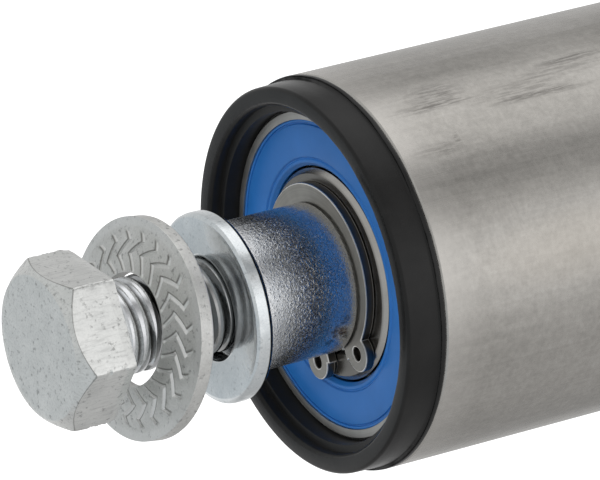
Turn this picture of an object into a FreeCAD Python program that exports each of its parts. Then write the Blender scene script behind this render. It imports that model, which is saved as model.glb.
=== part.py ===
import FreeCAD, Part
import math
import os
import Sketcher

# A conveyor roller, 50 mm in diameter, with a threaded axle end and a hex bolt at both ends.
# X runs along the axle, Z is up, and the origin is the middle of the roller on its axis.
# Each end is described by its depth from the front face of the end cap: depth grows towards
# the middle of the roller and is negative outside the cap.

# Driving dimensions in millimetres, and degrees where the name says so.
SIZES = {
    # shell
    "tube_length": 300.0,
    "tube_wall": 2.0,
    "tube_edge": 0.3,
    # plastic end cap
    "cap_wall": 2.0,
    "nose_length": 5.1,
    "nose_step": 0.6,
    "nose_taper": 0.15,
    "nose_edge": 0.3,
    "nose_wall": 2.4,
    "flange_thickness": 0.6,
    "mouth_depth": 1.6,
    "mouth_edge": 0.4,
    "cap_back_wall": 2.5,
    "cap_back_lip": 3.5,
    "plug_lead": 1.0,
    # ball bearing
    "bearing_depth": 3.6,
    "bearing_edge": 0.4,
    "inner_ring_wall": 3.9,
    "inner_land_edge": 0.6,
    "inner_land_gap": 2.1,
    "outer_land_gap": 2.0,
    "outer_ring_rim": 1.4,
    "ball_radius": 3.175,
    "ball_count": 9.0,
    "ball_play": 0.05,
    "cage_thickness": 2.4,
    "cage_side": 0.725,
    "cage_seal_gap": 1.05,
    # bearing seals
    "seal_overlap": 2.1,
    "seal_seat_depth": 1.4,
    "seal_setback": 0.15,
    "seal_thickness": 0.9,
    "seal_lip_gap": 0.3,
    "seal_rim_width": 0.35,
    "seal_line_width": 0.3,
    "seal_line_depth": 0.25,
    "seal_step_width": 0.4,
    "seal_step_height": 0.18,
    # axle
    "axle_radius": 9.5,
    "axle_overhang": 11.2,
    "axle_edge": 1.0,
    "thread_hole_radius": 6.0,
    "thread_hole_sink": 1.0,
    "thread_hole_depth": 32.0,
    "drill_tip_length": 3.4,
    # retaining ring
    "ring_thickness": 1.2,
    "ring_play": 0.1,
    "ring_front_gap": 0.3,
    "ring_groove_depth": 0.5,
    "ring_height": 1.95,
    "ring_offset": 0.45,
    "ring_gap": 4.6,
    "ring_turn_degrees": 26.6,
    "lug_radius": 2.3,
    "lug_hole_radius": 0.9,
    "lug_rise": 1.9,
    "lug_spread": 5.05,
    # flat washer
    "flat_washer_radius": 12.0,
    "flat_washer_play": 0.5,
    "flat_washer_thickness": 2.5,
    "flat_washer_edge": 0.4,
    "flat_washer_drop": 0.5,
    # dished lock washer
    "lock_washer_radius": 13.75,
    "lock_washer_play": 1.0,
    "lock_washer_thickness": 1.8,
    "lock_washer_dish": 1.0,
    "lock_washer_rim": 1.1,
    "lock_washer_drop": 0.75,
    "lock_washer_tilt_degrees": 10.7,
    "lock_washer_lean_degrees": 17.9,
    "frame_gap": 8.2,
    "tooth_count": 24.0,
    "tooth_start_degrees": 8.0,
    "tooth_groove_inset": 0.4,
    "tooth_groove_width": 0.5,
    "tooth_groove_depth": 0.25,
    "tooth_first_kink_share": 0.4,
    "tooth_second_kink_share": 0.7,
    "tooth_inner_degrees": 8.0,
    "tooth_middle_degrees": -13.0,
    "tooth_outer_degrees": 3.3,
    # hex bolt
    "head_gap": 6.1,
    "head_height": 7.5,
    "head_flats": 19.0,
    "head_face_inset": 0.4,
    "bolt_length": 30.0,
    "bolt_play": 0.07,
    "bolt_tip_edge": 1.0,
    "bolt_neck_length": 1.6,
    "bolt_neck_relief": 0.35,
}

PARTS_FOLDER = "parts"
ROOT_3 = math.sqrt(3.0)

doc = FreeCAD.newDocument("conveyor_roller")
sheet = doc.addObject("Spreadsheet::Sheet", "Sizes")


class Length:
    """A size that carries its number and the formula that ties it to the sheet."""

    def __init__(self, value, formula):
        self.value = value
        self.formula = formula

    def combine(self, other, sign, value):
        right = other.formula if isinstance(other, Length) else repr(float(other))
        return Length(value, "(" + self.formula + " " + sign + " " + right + ")")

    def __add__(self, other):
        return self.combine(other, "+", self.value + number(other))

    def __sub__(self, other):
        return self.combine(other, "-", self.value - number(other))

    def __mul__(self, other):
        return self.combine(other, "*", self.value * number(other))

    def __truediv__(self, other):
        return self.combine(other, "/", self.value / number(other))


def number(size):
    """The plain number of a size."""
    return size.value if isinstance(size, Length) else float(size)


def fill_sheet():
    """Write every driving dimension into the sheet and give back the named sizes."""
    named = {}
    for row, (name, value) in enumerate(SIZES.items(), start=1):
        sheet.set("A" + str(row), name)
        sheet.set("B" + str(row), str(value))
        sheet.setAlias("B" + str(row), name)
        named[name] = Length(value, "Sizes." + name)
    doc.recompute()
    return named


size = fill_sheet()
ZERO = Length(0.0, "0")

# Sizes that follow from the driving ones. The radii run from the axle out through the
# bearing and the end cap to the outside of the tube.
inner_land_radius = size["axle_radius"] + size["inner_ring_wall"]
ball_circle_radius = inner_land_radius + size["inner_land_gap"]
outer_land_radius = ball_circle_radius + size["outer_land_gap"]
seal_seat_radius = outer_land_radius + size["seal_overlap"]
bearing_radius = seal_seat_radius + size["outer_ring_rim"]
cap_back_bore_radius = bearing_radius - size["cap_back_lip"]
plug_radius = bearing_radius + size["cap_wall"]
tube_radius = plug_radius + size["tube_wall"]
nose_radius = tube_radius - size["nose_step"]
mouth_radius = nose_radius - size["nose_wall"]
cage_half_width = size["ball_radius"] + size["cage_side"]
seal_back = size["seal_setback"] + size["seal_thickness"]
bearing_width = (cage_half_width + size["cage_seal_gap"] + seal_back) * 2
bearing_back = size["bearing_depth"] + bearing_width
bearing_middle = size["bearing_depth"] + bearing_width / 2
cap_length = bearing_back + size["cap_back_wall"]
race_radius = size["ball_radius"] + size["ball_play"]
ring_groove_radius = size["axle_radius"] - size["ring_groove_depth"]
ring_radius = size["axle_radius"] + size["ring_height"]
lug_circle_radius = size["axle_radius"] + size["lug_rise"]
flat_washer_hole_radius = size["thread_hole_radius"] + size["flat_washer_play"]
lock_washer_hole_radius = size["thread_hole_radius"] + size["lock_washer_play"]
head_face_radius = size["head_flats"] / 2 - size["head_face_inset"]
ring_back = size["bearing_depth"] - size["ring_play"]
ring_front = ring_back - size["ring_thickness"]
seal_lip_radius = inner_land_radius + size["seal_lip_gap"]
axle_end = size["axle_overhang"] * -1
flat_washer_face = axle_end - size["flat_washer_thickness"]
lock_washer_face = flat_washer_face - size["frame_gap"] - size["lock_washer_thickness"]
head_seat = lock_washer_face - size["head_gap"]
bolt_radius = size["thread_hole_radius"] - size["bolt_play"]
cap_face_from_middle = size["tube_length"] / 2 + size["nose_length"]
axle_half_length = cap_face_from_middle + size["axle_overhang"]


def bind(thing, prop, length):
    """Tie one property of an object to the sheet."""
    thing.setExpression(prop, length.formula)


def new_body(name):
    """An empty body that will hold one sub-part."""
    body = doc.addObject("PartDesign::Body", name)
    body.Label = name
    return body


def origin_feature(body, role):
    """One of the body's own origin planes or axes."""
    return next(item for item in body.Origin.OriginFeatures if item.Role == role)


def new_sketch(body, name, plane):
    """An empty sketch on one of the body's origin planes."""
    sketch = body.newObject("Sketcher::SketchObject", name)
    sketch.AttachmentSupport = (origin_feature(body, plane), [""])
    sketch.MapMode = "FlatFace"
    return sketch


def fix_distance(sketch, direction, vertex, length):
    """Hold one vertex at a signed distance from the sketch's origin."""
    edge, end = vertex
    index = sketch.addConstraint(
        Sketcher.Constraint(direction, -1, 1, edge, end, number(length)))
    sketch.setExpression("Constraints[" + str(index) + "]", length.formula)


def draw_outline(sketch, corners):
    """A closed outline of straight edges through corners that are tied to the sheet."""
    points = [FreeCAD.Vector(number(x), number(y), 0) for x, y in corners]
    first = sketch.GeometryCount
    for index, point in enumerate(points):
        following = points[(index + 1) % len(points)]
        sketch.addGeometry(Part.LineSegment(point, following), False)
    for index in range(len(points)):
        following = (index + 1) % len(points)
        sketch.addConstraint(
            Sketcher.Constraint("Coincident", first + index, 2, first + following, 1))
    for index, (x, y) in enumerate(corners):
        fix_distance(sketch, "DistanceX", (first + index, 1), x)
        fix_distance(sketch, "DistanceY", (first + index, 1), y)


def draw_circle(sketch, x, y, radius):
    """A circle with its centre and radius tied to the sheet."""
    centre = FreeCAD.Vector(number(x), number(y), 0)
    edge = sketch.addGeometry(Part.Circle(centre, FreeCAD.Vector(0, 0, 1), number(radius)), False)
    fix_distance(sketch, "DistanceX", (edge, 3), x)
    fix_distance(sketch, "DistanceY", (edge, 3), y)
    index = sketch.addConstraint(Sketcher.Constraint("Radius", edge, number(radius)))
    sketch.setExpression("Constraints[" + str(index) + "]", radius.formula)


def turn(body, kind, name, sketch):
    """Revolve a sketch about the X axis, as added or removed material."""
    feature = body.newObject("PartDesign::" + kind, name)
    feature.Profile = sketch
    feature.ReferenceAxis = (origin_feature(body, "X_Axis"), [""])
    feature.Angle = 360.0
    body.Tip = feature
    return feature


def extrude(body, kind, name, sketch, length, backwards):
    """Push a sketch on the YZ plane along X, as added or removed material."""
    feature = body.newObject("PartDesign::" + kind, name)
    feature.Profile = sketch
    bind(feature, "Length", length)
    feature.Reversed = backwards
    body.Tip = feature
    return feature


def repeat_about_axis(body, name, features, count):
    """Repeat features evenly round the X axis."""
    pattern = body.newObject("PartDesign::PolarPattern", name)
    pattern.Originals = features
    pattern.Axis = (origin_feature(body, "X_Axis"), [""])
    pattern.Angle = 360.0
    pattern.Occurrences = count
    body.Tip = pattern
    return pattern


class End:
    """One end of the roller. inward is the sign of X that leads to the roller's middle."""

    def __init__(self, name, inward):
        self.name = name
        self.inward = inward

    def label(self, piece):
        return self.name + "_" + piece

    def corners(self, outline):
        """Turn (depth, radius) pairs into sketch corners for this end."""
        return [(depth * self.inward, radius) for depth, radius in outline]

    def place(self, thing, depth=ZERO):
        """Put the thing's own origin at a depth from the cap's front face."""
        bind(thing, "Placement.Base.x", (cap_face_from_middle - depth) * -self.inward)

    def turned_body(self, piece, outline, depth=ZERO):
        """A body revolved from (depth, radius) pairs measured from its own place."""
        body = new_body(self.label(piece))
        sketch = new_sketch(body, self.label(piece) + "_section", "XZ_Plane")
        draw_outline(sketch, self.corners(outline))
        turn(body, "Revolution", self.label(piece) + "_turned", sketch)
        self.place(body, depth)
        return body


def make_axle():
    """Plain bar with a ring groove and a blind, countersunk threaded hole at each end."""
    body = new_body("axle")
    half = axle_half_length
    radius = size["axle_radius"]
    edge = size["axle_edge"]
    bar = new_sketch(body, "axle_section", "XZ_Plane")
    draw_outline(bar, [
        (half * -1, ZERO),
        (half * -1, radius - edge),
        (half * -1 + edge, radius),
        (half - edge, radius),
        (half, radius - edge),
        (half, ZERO),
    ])
    turn(body, "Revolution", "axle_bar", bar)

    groove_front = ring_front - size["ring_front_gap"] - cap_face_from_middle
    groove_back = size["bearing_depth"] - cap_face_from_middle
    groove = new_sketch(body, "axle_groove_section", "XZ_Plane")
    draw_outline(groove, [
        (groove_front, ring_groove_radius),
        (groove_back, ring_groove_radius),
        (groove_back, radius + edge),
        (groove_front, radius + edge),
    ])
    ring_groove = turn(body, "Groove", "axle_ring_groove", groove)

    floor = size["thread_hole_depth"] - half
    sink = size["thread_hole_sink"]
    hole = new_sketch(body, "axle_hole_section", "XZ_Plane")
    draw_outline(hole, [
        (half * -1 - edge, ZERO),
        (floor + size["drill_tip_length"], ZERO),
        (floor, size["thread_hole_radius"]),
        (half * -1 + sink, size["thread_hole_radius"]),
        (half * -1, size["thread_hole_radius"] + sink),
        (half * -1 - edge, size["thread_hole_radius"] + sink),
    ])
    thread_hole = turn(body, "Groove", "axle_thread_hole", hole)

    both_ends = body.newObject("PartDesign::Mirrored", "axle_both_ends")
    both_ends.Originals = [ring_groove, thread_hole]
    both_ends.MirrorPlane = (origin_feature(body, "YZ_Plane"), [""])
    body.Tip = both_ends
    return body


def make_tube():
    """Steel shell with lightly broken edges."""
    body = new_body("tube")
    half = size["tube_length"] / 2
    outside = tube_radius
    edge = size["tube_edge"]
    section = new_sketch(body, "tube_section", "XZ_Plane")
    draw_outline(section, [
        (half * -1, plug_radius),
        (half * -1, outside - edge),
        (half * -1 + edge, outside),
        (half - edge, outside),
        (half, outside - edge),
        (half, plug_radius),
    ])
    turn(body, "Revolution", "tube_turned", section)
    return body


def make_end_cap(end):
    """Bearing housing: stepped mouth, nose, thin flange on the tube's end, plug in the tube."""
    return end.turned_body("end_cap", [
        (ZERO, mouth_radius + size["mouth_edge"]),
        (ZERO, nose_radius - size["nose_edge"]),
        (size["nose_edge"], nose_radius),
        (size["nose_length"] - size["flange_thickness"], nose_radius + size["nose_taper"]),
        (size["nose_length"] - size["flange_thickness"], tube_radius),
        (size["nose_length"], tube_radius),
        (size["nose_length"], plug_radius),
        (cap_length - size["plug_lead"], plug_radius),
        (cap_length, plug_radius - size["plug_lead"]),
        (cap_length, cap_back_bore_radius),
        (bearing_back, cap_back_bore_radius),
        (bearing_back, bearing_radius),
        (size["mouth_depth"], bearing_radius),
        (size["mouth_depth"], mouth_radius),
        (size["mouth_edge"], mouth_radius),
    ])


def cut_race(end, body):
    """Cut the ball race into a bearing ring, whose own place is the bearing's front face."""
    sketch = new_sketch(body, body.Label + "_race_section", "XZ_Plane")
    middle = bearing_width / 2 * end.inward
    draw_circle(sketch, middle, ball_circle_radius, race_radius)
    turn(body, "Groove", body.Label + "_race", sketch)


def make_outer_ring(end):
    """Outer ring of the bearing, stepped on both faces to seat the seals."""
    width = bearing_width
    edge = size["bearing_edge"]
    seat = size["seal_seat_depth"]
    body = end.turned_body("bearing_outer_ring", [
        (ZERO, bearing_radius - edge),
        (edge, bearing_radius),
        (width - edge, bearing_radius),
        (width, bearing_radius - edge),
        (width, seal_seat_radius),
        (width - seat, seal_seat_radius),
        (width - seat, outer_land_radius),
        (seat, outer_land_radius),
        (seat, seal_seat_radius),
        (ZERO, seal_seat_radius),
    ], size["bearing_depth"])
    cut_race(end, body)
    return body


def make_inner_ring(end):
    """Inner ring of the bearing, on the axle."""
    width = bearing_width
    edge = size["inner_land_edge"]
    body = end.turned_body("bearing_inner_ring", [
        (ZERO, size["axle_radius"] + edge),
        (ZERO, inner_land_radius - edge),
        (edge, inner_land_radius),
        (width - edge, inner_land_radius),
        (width, inner_land_radius - edge),
        (width, size["axle_radius"] + edge),
        (width - edge, size["axle_radius"]),
        (edge, size["axle_radius"]),
    ], size["bearing_depth"])
    cut_race(end, body)
    return body


def make_seal(end, piece, faces_inward):
    """Rubber seal with a moulded line near its rim and two steps down to its lip."""
    front = size["seal_setback"]
    line_outside = seal_seat_radius - size["seal_rim_width"]
    line_inside = line_outside - size["seal_line_width"]
    line_floor = front + size["seal_line_depth"]
    first_step = seal_lip_radius + size["seal_step_width"] * 2
    second_step = seal_lip_radius + size["seal_step_width"]
    outline = [
        (front, seal_seat_radius),
        (front, line_outside),
        (line_floor, line_outside),
        (line_floor, line_inside),
        (front, line_inside),
        (front, first_step),
        (front + size["seal_step_height"], first_step),
        (front + size["seal_step_height"], second_step),
        (front + size["seal_step_height"] * 2, second_step),
        (front + size["seal_step_height"] * 2, seal_lip_radius),
        (seal_back, seal_lip_radius),
        (seal_back, seal_seat_radius),
    ]
    if faces_inward:
        outline = [(bearing_width - depth, radius) for depth, radius in outline]
    return end.turned_body(piece, outline, size["bearing_depth"])


def make_cage(end):
    """Cage ring with one round pocket for each ball."""
    inside = ball_circle_radius - size["cage_thickness"] / 2
    outside = ball_circle_radius + size["cage_thickness"] / 2
    body = end.turned_body("bearing_cage", [
        (cage_half_width * -1, inside),
        (cage_half_width * -1, outside),
        (cage_half_width, outside),
        (cage_half_width, inside),
    ], bearing_middle)
    pocket = body.newObject("PartDesign::SubtractiveSphere", end.label("cage_pocket"))
    bind(pocket, "Radius", size["ball_radius"] + size["ball_play"] * 2)
    bind(pocket, "Placement.Base.z", ball_circle_radius)
    body.Tip = pocket
    repeat_about_axis(body, end.label("cage_pockets"), [pocket], int(SIZES["ball_count"]))
    return body


def make_balls(end):
    """All balls of one bearing, as separate solids in one node."""
    count = int(SIZES["ball_count"])
    balls = []
    for index in range(count):
        ball = doc.addObject("Part::Sphere", end.label("ball_" + str(index)))
        angle = 2 * math.pi * index / count
        bind(ball, "Radius", size["ball_radius"])
        end.place(ball, bearing_middle)
        bind(ball, "Placement.Base.y", ball_circle_radius * math.sin(angle))
        bind(ball, "Placement.Base.z", ball_circle_radius * math.cos(angle))
        balls.append(ball)
    group = doc.addObject("Part::Compound", end.label("bearing_balls"))
    group.Links = balls
    return group


def make_circlip(end):
    """Retaining ring that grows wider away from its gap, with a holed lug each side of it."""
    name = end.label("circlip")
    body = new_body(name)
    backwards = end.inward < 0
    thickness = size["ring_thickness"]

    ring = new_sketch(body, name + "_ring", "YZ_Plane")
    draw_circle(ring, ZERO, size["ring_offset"], ring_radius)
    extrude(body, "Pad", name + "_ring_pad", ring, thickness, backwards)

    lug_drop = lug_circle_radius * lug_circle_radius - size["lug_spread"] * size["lug_spread"]
    lug_height = Length(-math.sqrt(lug_drop.value), "(-1 * sqrt" + lug_drop.formula + ")")
    for side, side_name in ((-1, "near"), (1, "far")):
        lug = new_sketch(body, name + "_lug_" + side_name, "YZ_Plane")
        draw_circle(lug, size["lug_spread"] * side, lug_height, size["lug_radius"])
        extrude(body, "Pad", name + "_lug_pad_" + side_name, lug, thickness, backwards)

    bore = new_sketch(body, name + "_bore", "YZ_Plane")
    draw_circle(bore, ZERO, ZERO, ring_groove_radius)
    extrude(body, "Pocket", name + "_bore_cut", bore, thickness, not backwards)

    half_gap = size["ring_gap"] / 2
    gap_end = (lug_circle_radius + size["lug_radius"] * 2) * -1
    gap = new_sketch(body, name + "_gap", "YZ_Plane")
    draw_outline(gap, [
        (half_gap * -1, ZERO),
        (half_gap, ZERO),
        (half_gap, gap_end),
        (half_gap * -1, gap_end),
    ])
    extrude(body, "Pocket", name + "_gap_cut", gap, thickness, not backwards)

    for side, side_name in ((-1, "near"), (1, "far")):
        hole = new_sketch(body, name + "_hole_" + side_name, "YZ_Plane")
        draw_circle(hole, size["lug_spread"] * side, lug_height, size["lug_hole_radius"])
        extrude(body, "Pocket", name + "_hole_cut_" + side_name, hole, thickness, not backwards)

    end.place(body, ring_front)
    body.Placement = FreeCAD.Placement(
        body.Placement.Base, FreeCAD.Rotation(FreeCAD.Vector(-end.inward, 0, 0), 1))
    bind(body, "Placement.Rotation.Angle", size["ring_turn_degrees"])
    return body


def make_flat_washer(end):
    """Plain washer against the end of the axle, hanging on the bolt by its play."""
    edge = size["flat_washer_edge"]
    thickness = size["flat_washer_thickness"]
    inside = flat_washer_hole_radius
    outside = size["flat_washer_radius"]
    body = end.turned_body("flat_washer", [
        (ZERO, inside + edge),
        (ZERO, outside - edge),
        (edge, outside),
        (thickness - edge, outside),
        (thickness, outside - edge),
        (thickness, inside),
        (edge, inside),
    ], flat_washer_face)
    bind(body, "Placement.Base.z", size["flat_washer_drop"] * -1)
    return body


def cut_tooth_groove(end, body, stretch, start, finish):
    """One straight groove in the dished face, between two (radius, degrees) places."""
    points = []
    for radius, degrees in (start, finish):
        place = number(radius)
        dished_width = size["lock_washer_radius"] - size["lock_washer_rim"] - lock_washer_hole_radius
        share = (place - number(lock_washer_hole_radius)) / number(dished_width)
        depth = SIZES["lock_washer_dish"] * (share - 1.0)
        angle = math.radians(degrees)
        points.append(FreeCAD.Vector(
            depth * end.inward, place * math.sin(angle) * end.inward, place * math.cos(angle)))
    along = points[1] - points[0]
    inwards = FreeCAD.Vector(1, 0, 0)
    turned = FreeCAD.Rotation(inwards, along.cross(inwards), along, "ZXY")
    corner = FreeCAD.Vector(-SIZES["tooth_groove_depth"], -SIZES["tooth_groove_width"] / 2, 0)

    groove = body.newObject("PartDesign::SubtractiveBox", body.Label + "_groove_" + stretch)
    rise = finish[0] - start[0]
    bind(groove, "Length", size["tooth_groove_depth"] * 2)
    bind(groove, "Width", size["tooth_groove_width"])
    bind(groove, "Height", rise * (along.Length / number(rise)))
    groove.Placement = FreeCAD.Placement(points[0] + turned.multVec(corner), turned)
    body.Tip = groove
    return groove


def make_lock_washer(end):
    """Dished washer with zigzag serrations, hanging slack and a little tilted on the bolt."""
    inside = lock_washer_hole_radius
    outside = size["lock_washer_radius"]
    rim = outside - size["lock_washer_rim"]
    dish = size["lock_washer_dish"]
    thickness = size["lock_washer_thickness"]
    name = end.label("lock_washer")
    body = end.turned_body("lock_washer", [
        (dish * -1, inside),
        (ZERO, rim),
        (ZERO, outside),
        (thickness, outside),
        (thickness, rim),
        (thickness - dish, inside),
    ], lock_washer_face)

    inset = size["tooth_groove_inset"]
    first_kink = inside + (rim - inside) * SIZES["tooth_first_kink_share"]
    second_kink = inside + (rim - inside) * SIZES["tooth_second_kink_share"]
    start_degrees = SIZES["tooth_start_degrees"]
    first_degrees = start_degrees + SIZES["tooth_inner_degrees"]
    second_degrees = first_degrees + SIZES["tooth_middle_degrees"]
    zigzag = [
        (inside + inset, start_degrees),
        (first_kink, first_degrees),
        (second_kink, second_degrees),
        (rim - inset, second_degrees + SIZES["tooth_outer_degrees"]),
    ]
    grooves = [
        cut_tooth_groove(end, body, stretch, start, finish)
        for stretch, start, finish in zip(("inner", "middle", "outer"), zigzag, zigzag[1:])
    ]
    repeat_about_axis(body, name + "_serrations", grooves, int(SIZES["tooth_count"]))

    bind(body, "Placement.Base.z", size["lock_washer_drop"] * -1)
    lean = math.radians(SIZES["lock_washer_lean_degrees"])
    hinge = FreeCAD.Vector(0, math.cos(lean) * end.inward, math.sin(lean) * end.inward)
    body.Placement = FreeCAD.Placement(body.Placement.Base, FreeCAD.Rotation(hinge, 1))
    bind(body, "Placement.Rotation.Angle", size["lock_washer_tilt_degrees"])
    return body


def make_hex_bolt(end):
    """Hex bolt, chamfered on the head's face, with a plain shank as wide as its thread."""
    name = end.label("hex_bolt")
    body = new_body(name)
    half_flats = size["head_flats"] / 2
    corner = size["head_flats"] / ROOT_3
    hexagon = new_sketch(body, name + "_hexagon", "YZ_Plane")
    draw_outline(hexagon, [
        (corner, ZERO),
        (corner / 2, half_flats),
        (corner / -2, half_flats),
        (corner * -1, ZERO),
        (corner / -2, half_flats * -1),
        (corner / 2, half_flats * -1),
    ])
    extrude(body, "Pad", name + "_head", hexagon, size["head_height"], end.inward > 0)

    neck = size["bolt_neck_length"]
    length = size["bolt_length"]
    shank = new_sketch(body, name + "_shank_section", "XZ_Plane")
    draw_outline(shank, end.corners([
        (size["head_height"] / -2, ZERO),
        (size["head_height"] / -2, bolt_radius - size["bolt_neck_relief"]),
        (neck, bolt_radius - size["bolt_neck_relief"]),
        (neck + size["bolt_neck_relief"], bolt_radius),
        (length - size["bolt_tip_edge"], bolt_radius),
        (length, bolt_radius - size["bolt_tip_edge"]),
        (length, ZERO),
    ]))
    turn(body, "Revolution", name + "_shank", shank)

    past_corner = corner + size["bolt_tip_edge"]
    chamfer_depth = past_corner - head_face_radius
    chamfer = new_sketch(body, name + "_chamfer_section", "XZ_Plane")
    draw_outline(chamfer, end.corners([
        (size["head_height"] * -1, head_face_radius),
        (chamfer_depth - size["head_height"], past_corner),
        (size["head_height"] * -1, past_corner),
    ]))
    turn(body, "Groove", name + "_chamfer", chamfer)
    end.place(body, head_seat)
    return body


def make_parts():
    """Every sub-part of the roller, in the order in which it goes together."""
    parts = [make_axle(), make_tube()]
    for end in (End("left", 1), End("right", -1)):
        parts += [
            make_end_cap(end),
            make_outer_ring(end),
            make_inner_ring(end),
            make_cage(end),
            make_balls(end),
            make_seal(end, "outer_seal", False),
            make_seal(end, "inner_seal", True),
            make_circlip(end),
            make_flat_washer(end),
            make_lock_washer(end),
            make_hex_bolt(end),
        ]
    return parts


def check_document(parts):
    """Stop if any object failed to build or any sub-part is not a sound solid."""
    for item in doc.Objects:
        for bad_state in ("Invalid", "Error"):
            if bad_state in item.State:
                raise RuntimeError(item.Label + " did not build: " + str(item.State))
    for part in parts:
        if part.Shape.isNull() or not part.Shape.isValid() or not part.Shape.Solids:
            raise RuntimeError(part.Label + " is not a sound solid")


def write_parts(parts):
    """Write one file for each sub-part."""
    os.makedirs(PARTS_FOLDER, exist_ok=True)
    for part in parts:
        part.Shape.exportStep(os.path.join(PARTS_FOLDER, part.Label + ".step"))
        print(part.Label, len(part.Shape.Solids), round(part.Shape.Volume, 1))


parts = make_parts()
doc.recompute()
check_document(parts)
write_parts(parts)
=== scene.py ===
import math

import bmesh
import bpy
from mathutils import Matrix, Vector, noise


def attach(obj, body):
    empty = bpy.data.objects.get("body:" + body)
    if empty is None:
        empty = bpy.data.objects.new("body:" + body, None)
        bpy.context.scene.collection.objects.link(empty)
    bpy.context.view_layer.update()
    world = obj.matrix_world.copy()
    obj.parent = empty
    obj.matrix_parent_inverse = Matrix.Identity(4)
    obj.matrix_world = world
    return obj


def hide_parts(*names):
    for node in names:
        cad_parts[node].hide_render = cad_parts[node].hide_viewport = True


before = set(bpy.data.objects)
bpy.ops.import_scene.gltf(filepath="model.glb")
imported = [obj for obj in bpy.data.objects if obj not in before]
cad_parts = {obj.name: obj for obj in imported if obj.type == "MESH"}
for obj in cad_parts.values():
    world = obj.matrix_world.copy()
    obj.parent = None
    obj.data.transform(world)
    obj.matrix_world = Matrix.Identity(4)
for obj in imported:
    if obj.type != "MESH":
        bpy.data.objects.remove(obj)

# Conveyor roller: finishes, detailed hardware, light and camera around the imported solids.
# Lengths are in millimetres and are turned into metres where a mesh is made.
# A piece at one end is drawn by its depth from the end cap's front face: depth grows
# towards the middle of the roller. end is -1 at the left end and +1 at the right end.

MM = 0.001
TAU = 2 * math.pi
CAP_FACE = 155.1
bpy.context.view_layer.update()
END_NAMES = {-1: "left", 1: "right"}
# Metres within which two vertices are one.
SAME_PLACE = 1e-7
# Values of the vertices' attribute that the zinc materials turn into colour: above 0 a painted highlight;
# below 0 painted shade, except along the bolt head's edges, where it draws darker lines.
CHAMFER_LINE = -0.75
SIDE_LINE = -0.5
CORNER_LINE = -0.7
# Painted shade in the thread's root.
THREAD_ROOT_SHADE = -0.9
# Painted shade on the thread from under the lock washer inward.
THREAD_INWARD_SHADE = -0.7
# Painted highlight round the outer edge of the lock washer's faces.
LOCK_RIM_HIGHLIGHT = 0.4
# Painted shade on the flat washer's back edge, against the axle's end.
FLAT_BACK_SHADE = -1.2
# Painted shade on the flat washer, fading out from its hole.
FLAT_HOLE_SHADE = -0.2


def to_world_x(end, depth):
    """World X in metres of a depth in millimetres."""
    return end * (CAP_FACE - depth) * MM


def smooth_step(value, low, high):
    """0 below low, 1 above high, and an easy curve between them."""
    share = min(max((value - low) / (high - low), 0.0), 1.0)
    return share * share * (3 - 2 * share)


def mix(start, finish, share):
    """start at share 0 and finish at share 1."""
    return start + (finish - start) * share


# Meshes

def add_point(bm, x, radius, angle):
    """A vertex at world X in metres, by its radius in millimetres and angle round the axis."""
    return bm.verts.new((x, radius * math.cos(angle) * MM, radius * math.sin(angle) * MM))


def finish_piece(bm, name, body, replaced, slot, sharp_degrees=35.0):
    """Turn a bmesh into a piece that rides on a body and stands for a node."""
    bmesh.ops.remove_doubles(bm, verts=bm.verts, dist=SAME_PLACE)
    bmesh.ops.dissolve_degenerate(bm, edges=bm.edges, dist=SAME_PLACE)
    bmesh.ops.recalc_face_normals(bm, faces=bm.faces)
    mesh = bpy.data.meshes.new(name)
    bm.to_mesh(mesh)
    bm.free()
    mesh.shade_smooth()
    mesh.set_sharp_from_angle(angle=math.radians(sharp_degrees))
    piece = bpy.data.objects.new(name, mesh)
    bpy.context.scene.collection.objects.link(piece)
    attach(piece, body)
    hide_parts(replaced)
    return piece


def join_rings(bm, rings, closed):
    """Faces between each ring of vertices and the next. closed joins the last to the first."""
    count = len(rings)
    for index in range(count if closed else count - 1):
        lower = rings[index]
        upper = rings[(index + 1) % count]
        size = len(lower)
        for k in range(size):
            following = (k + 1) % size
            corners = [lower[k], lower[following], upper[following], upper[k]]
            if len(set(corners)) == 4:
                bm.faces.new(corners)


def lathe(end, outline, segments=256, wobble=None):
    """A closed ring turned from (depth, radius) pairs. wobble moves points a little."""
    bm = bmesh.new()
    rings = []
    for depth, radius in outline:
        ring = []
        for k in range(segments):
            angle = TAU * k / segments
            shift, swell = wobble(depth, radius, angle) if wobble else (0.0, 0.0)
            ring.append(add_point(bm, to_world_x(end, depth + shift), radius + swell, angle))
        rings.append(ring)
    join_rings(bm, rings, closed=True)
    return bm


def soften(outline, reach, steps=3):
    """Replace each corner of a closed outline by a small arc, drawn with steps points."""
    softened = []
    count = len(outline)
    for index in range(count):
        corner = Vector(outline[index])
        before = Vector(outline[index - 1]) - corner
        after = Vector(outline[(index + 1) % count]) - corner
        room = 0.45 * min(before.length, after.length)
        cut = min(reach, room)
        start = corner + before.normalized() * cut
        finish = corner + after.normalized() * cut
        for step in range(steps):
            share = step / (steps - 1)
            ease = mix(start, corner, share)
            softened.append(tuple(mix(ease, mix(corner, finish, share), share)))
    return softened


# Hex bolt

HEAD_FRONT = -37.3
HEAD_REAR = -29.8
HEAD_FLATS = 19.0
HEAD_FACE_RADIUS = 9.1
HEAD_CORNER_ROUNDING = 0.07
CHAMFER_RISE = 1.0
# A sixth of a turn and half of it.
SIXTH = TAU / 6
HALF_SIXTH = TAU / 12
# Columns of vertices across a flat, from -1 at one corner to 1 at the next.
COLUMNS_A_FLAT = (-1.0, -0.985, -0.96, -0.9, -0.8, -0.65, -0.45, -0.22,
                  0.0, 0.22, 0.45, 0.65, 0.8, 0.9, 0.96, 0.985)
ROWS_A_SIDE = 20
# How deep the broad knocks and the nicks in the head's edges can be, and how far from the
# middle of a flat they start, in radians.
DENT_DEPTH = 0.40
NICK_DEPTH = 0.20
DENTS_FROM = 0.42
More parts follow.
